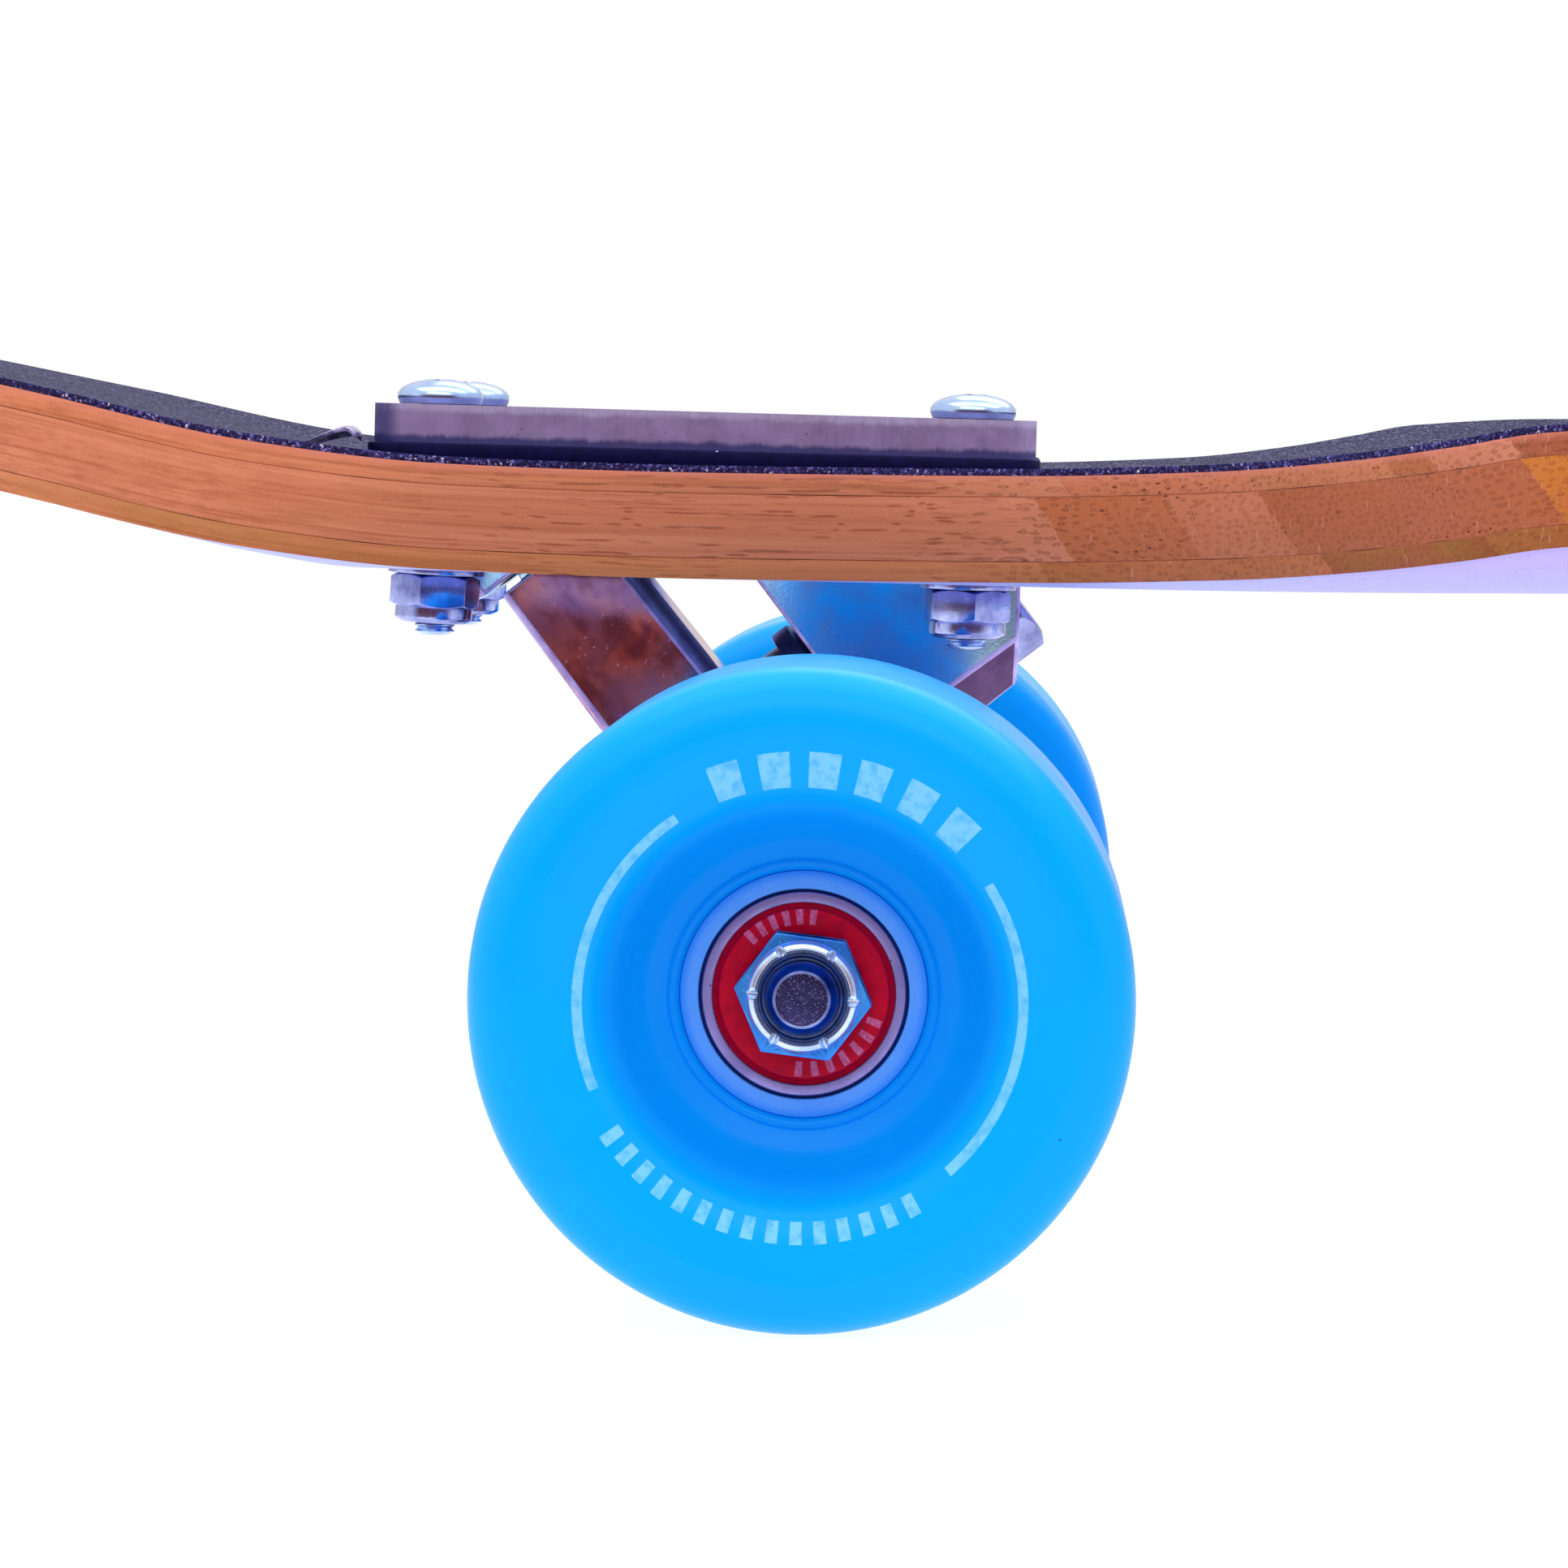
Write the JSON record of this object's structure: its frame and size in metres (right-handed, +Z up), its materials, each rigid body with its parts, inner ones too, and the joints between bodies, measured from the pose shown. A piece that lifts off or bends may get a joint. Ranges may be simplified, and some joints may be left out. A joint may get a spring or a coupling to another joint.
{
  "type": "skateboard",
  "caption": "Twin-tip drop-through longboard: laminated bamboo deck with grip tape, sprung reverse-kingpin trucks and soft wheels on sealed ball bearings.",
  "frame": {"origin": "on the ground under the middle of the board, at the centre of the bounding box's base", "axes": "+X along the board towards the rear end, +Y across it to the rider's left, +Z up"},
  "size_m": [1.0158, 0.256, 0.1071],
  "materials": {
    "bamboo": "clear-lacquered bamboo",
    "grip": "coarse black grit",
    "pad": "smooth black rubber",
    "truck_cast": "polished and brushed casting",
    "zinc": "bright zinc plate",
    "dark_steel": "dark plated steel",
    "black_urethane": "semi-gloss black urethane",
    "wheel_urethane": "satin blue urethane",
    "wheel_core": "pale blue plastic",
    "bearing": "ground steel with a red shield"
  },
  "bodies": {
    "board": {"deck": "bamboo", "grip_tape": "grip", "front_riser_pad": "pad", "front_baseplate": "truck_cast", "front_pivot_cup": "black_urethane", "front_kingpin": "zinc", "front_kingpin_nut": "zinc", "front_washer_boardside": "dark_steel", "front_washer_roadside": "dark_steel", "front_bushing_boardside": "black_urethane", "front_bushing_roadside": "black_urethane", "front_bolt_1": "zinc", "front_bolt_nut_1": "zinc", "front_bolt_2": "zinc", "front_bolt_nut_2": "zinc", "front_bolt_3": "zinc", "front_bolt_nut_3": "zinc", "front_bolt_4": "zinc", "front_bolt_nut_4": "zinc", "rear_riser_pad": "pad", "rear_baseplate": "truck_cast", "rear_pivot_cup": "black_urethane", "rear_kingpin": "zinc", "rear_kingpin_nut": "zinc", "rear_washer_boardside": "dark_steel", "rear_washer_roadside": "dark_steel", "rear_bushing_boardside": "black_urethane", "rear_bushing_roadside": "black_urethane", "rear_bolt_1": "zinc", "rear_bolt_nut_1": "zinc", "rear_bolt_2": "zinc", "rear_bolt_nut_2": "zinc", "rear_bolt_3": "zinc", "rear_bolt_nut_3": "zinc", "rear_bolt_4": "zinc", "rear_bolt_nut_4": "zinc"},
    "front_hanger_assembly": {"front_hanger": "truck_cast", "front_axle": "zinc", "front_left_axle_nut": "zinc", "front_right_axle_nut": "zinc"},
    "front_left_wheel": {"front_left_tyre": "wheel_urethane", "front_left_core": "wheel_core", "front_left_bearing_inboard": "bearing", "front_left_bearing_outboard": "bearing"},
    "front_right_wheel": {"front_right_tyre": "wheel_urethane", "front_right_core": "wheel_core", "front_right_bearing_inboard": "bearing", "front_right_bearing_outboard": "bearing"},
    "rear_hanger_assembly": {"rear_hanger": "truck_cast", "rear_axle": "zinc", "rear_left_axle_nut": "zinc", "rear_right_axle_nut": "zinc"},
    "rear_left_wheel": {"rear_left_tyre": "wheel_urethane", "rear_left_core": "wheel_core", "rear_left_bearing_inboard": "bearing", "rear_left_bearing_outboard": "bearing"},
    "rear_right_wheel": {"rear_right_tyre": "wheel_urethane", "rear_right_core": "wheel_core", "rear_right_bearing_inboard": "bearing", "rear_right_bearing_outboard": "bearing"}
  },
  "joints": [
    {"name": "front_steer", "type": "hinge", "parent": "board", "child": "front_hanger_assembly", "pos_m": [-0.383, 0, 0.035], "axis": [-0.6018, 0, 0.7986], "range_deg": [-12, 12], "stiffness_Nm_per_rad": 60, "deforming": ["front_bushing_boardside", "front_bushing_roadside"]},
    {"name": "front_left_spin", "type": "hinge", "parent": "front_hanger_assembly", "child": "front_left_wheel", "pos_m": [-0.383, 0.1025, 0.035], "axis": [0, 1, 0], "continuous": true},
    {"name": "front_right_spin", "type": "hinge", "parent": "front_hanger_assembly", "child": "front_right_wheel", "pos_m": [-0.383, -0.1025, 0.035], "axis": [0, 1, 0], "continuous": true},
    {"name": "rear_steer", "type": "hinge", "parent": "board", "child": "rear_hanger_assembly", "pos_m": [0.383, 0, 0.035], "axis": [0.6018, 0, 0.7986], "range_deg": [-12, 12], "stiffness_Nm_per_rad": 60, "deforming": ["rear_bushing_boardside", "rear_bushing_roadside"]},
    {"name": "rear_left_spin", "type": "hinge", "parent": "rear_hanger_assembly", "child": "rear_left_wheel", "pos_m": [0.383, 0.1025, 0.035], "axis": [0, 1, 0], "continuous": true},
    {"name": "rear_right_spin", "type": "hinge", "parent": "rear_hanger_assembly", "child": "rear_right_wheel", "pos_m": [0.383, -0.1025, 0.035], "axis": [0, 1, 0], "continuous": true}
  ]
}
